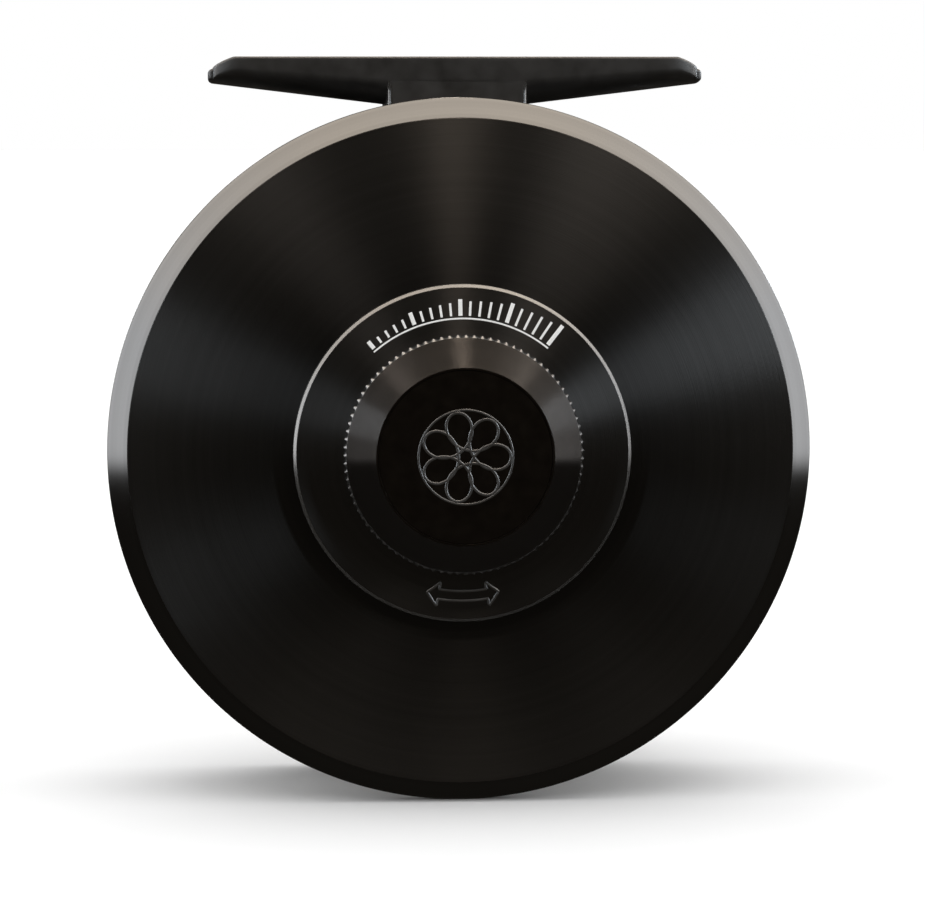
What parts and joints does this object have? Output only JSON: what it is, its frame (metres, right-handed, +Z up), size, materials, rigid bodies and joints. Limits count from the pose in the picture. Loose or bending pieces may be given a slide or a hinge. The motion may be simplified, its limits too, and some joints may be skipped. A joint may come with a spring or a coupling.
{
  "type": "fly reel",
  "caption": "Disc-drag fly reel: full cage frame with a curved rod foot, ported spool with palming rim, knurled drag knob, counterweighted handle and central cap screw.",
  "frame": {"origin": "centre of the flat strip on the floor of the foot's concave seat, between the two foot screws", "axes": "+Z up out of the seat, towards the rod; +X along the rod; the drag side faces -Y and the handle side +Y"},
  "size_m": [0.09, 0.059, 0.0952],
  "materials": {
    "black_anodised": "turned and black anodised, satin with fine concentric tool marks",
    "black_insert": "flat black anodised, plain",
    "stainless": "turned stainless steel",
    "carbon": "woven carbon friction composite",
    "bronze": "machined bronze",
    "seal_rubber": "smooth nitrile rubber",
    "handle_composite": "turned canvas and resin laminate, satin",
    "acetal": "machined black acetal"
  },
  "bodies": {
    "frame": {"frame_cage": "black_anodised", "reel_foot": "black_anodised", "foot_screw_left": "stainless", "foot_screw_right": "stainless", "spindle": "stainless", "hub_clip": "stainless", "knob_screw": "stainless", "cover_plate": "black_anodised", "cover_screw_1": "stainless", "cover_screw_2": "stainless", "cover_screw_3": "stainless", "friction_disc_front": "carbon", "pot_lid": "black_anodised", "lid_snap_ring": "stainless", "hub_seal": "seal_rubber", "pawl_pin": "stainless", "pawl_spring": "stainless", "detent_spring": "stainless"},
    "drag_knob": {"knob_shell": "black_anodised", "knob_cap": "black_insert", "detent_ring": "acetal"},
    "nut": {"drag_nut": "bronze", "spring_washer_outer": "stainless", "spring_washer_inner": "stainless"},
    "thrust": {"thrust_ring": "stainless", "pressure_plate": "stainless"},
    "detent": {"detent_plunger": "stainless"},
    "clutch": {"clutch_housing": "black_anodised", "roller_clutch": "stainless", "friction_disc_rear": "carbon"},
    "drive": {"drive_hub": "stainless"},
    "pawl": {"click_pawl": "stainless"},
    "spool_bearing": {"front_bearing_inner": "stainless", "rear_bearing_inner": "stainless", "bearing_spacer": "bronze"},
    "spool_body": {"spool": "black_anodised", "front_bearing_outer": "stainless", "rear_bearing_outer": "stainless", "drive_ring": "bronze", "click_gear": "stainless", "handle_post": "stainless", "handle_screw": "stainless", "counterweight": "stainless", "counterweight_screw": "stainless"},
    "handle": {"handle_knob": "handle_composite"},
    "cap": {"spool_cap": "black_anodised"}
  },
  "joints": [
    {"name": "drag_knob_turn", "type": "hinge", "parent": "frame", "child": "drag_knob", "pos_m": [0, 0, -0.048], "axis": [0, 1, 0], "range_deg": [0, 300]},
    {"name": "drag_nut_slide", "type": "slide", "parent": "frame", "child": "nut", "axis": [0, 1, 0], "range_m": [0, 0.00085], "deforming": ["spring_washer_outer", "spring_washer_inner"]},
    {"name": "thrust_slide", "type": "slide", "parent": "frame", "child": "thrust", "axis": [0, 1, 0], "range_m": [0, 0.00045]},
    {"name": "detent_press", "type": "slide", "parent": "frame", "child": "detent", "axis": [0, 1, 0], "range_m": [0, 0.0005], "stiffness_N_per_m": 300, "springref_m": -0.0004, "deforming": ["detent_spring"]},
    {"name": "pawl_rock", "type": "hinge", "parent": "frame", "child": "pawl", "pos_m": [-0.01417, 0, -0.05792], "axis": [0, 1, 0], "range_deg": [-14, 14], "stiffness_Nm_per_rad": 0.002},
    {"name": "clutch_spin", "type": "hinge", "parent": "frame", "child": "clutch", "pos_m": [0, 0, -0.048], "axis": [0, 1, 0], "continuous": true},
    {"name": "drive_spin", "type": "hinge", "parent": "frame", "child": "drive", "pos_m": [0, 0, -0.048], "axis": [0, 1, 0], "continuous": true},
    {"name": "spool_release", "type": "slide", "parent": "frame", "child": "spool_bearing", "axis": [0, 1, 0], "range_m": [0, 0.032]},
    {"name": "spool_spin", "type": "hinge", "parent": "spool_bearing", "child": "spool_body", "pos_m": [0, 0, -0.048], "axis": [0, 1, 0], "continuous": true},
    {"name": "handle_spin", "type": "hinge", "parent": "spool_body", "child": "handle", "pos_m": [0.0153, 0, -0.0745], "axis": [0, 1, 0], "continuous": true},
    {"name": "cap_turn", "type": "hinge", "parent": "spool_bearing", "child": "cap", "pos_m": [0, 0, -0.048], "axis": [0, 1, 0], "range_deg": [0, 1080]}
  ],
  "couplings": [
    {"joint": "drag_nut_slide", "follows": "drag_knob_turn", "m_per_rad": 0.00015915},
    {"joint": "thrust_slide", "follows": "drag_knob_turn", "m_per_rad": 0.000079577},
    {"joint": "clutch_spin", "follows": "spool_spin", "ratio": 1},
    {"joint": "drive_spin", "follows": "spool_spin", "ratio": 1}
  ]
}
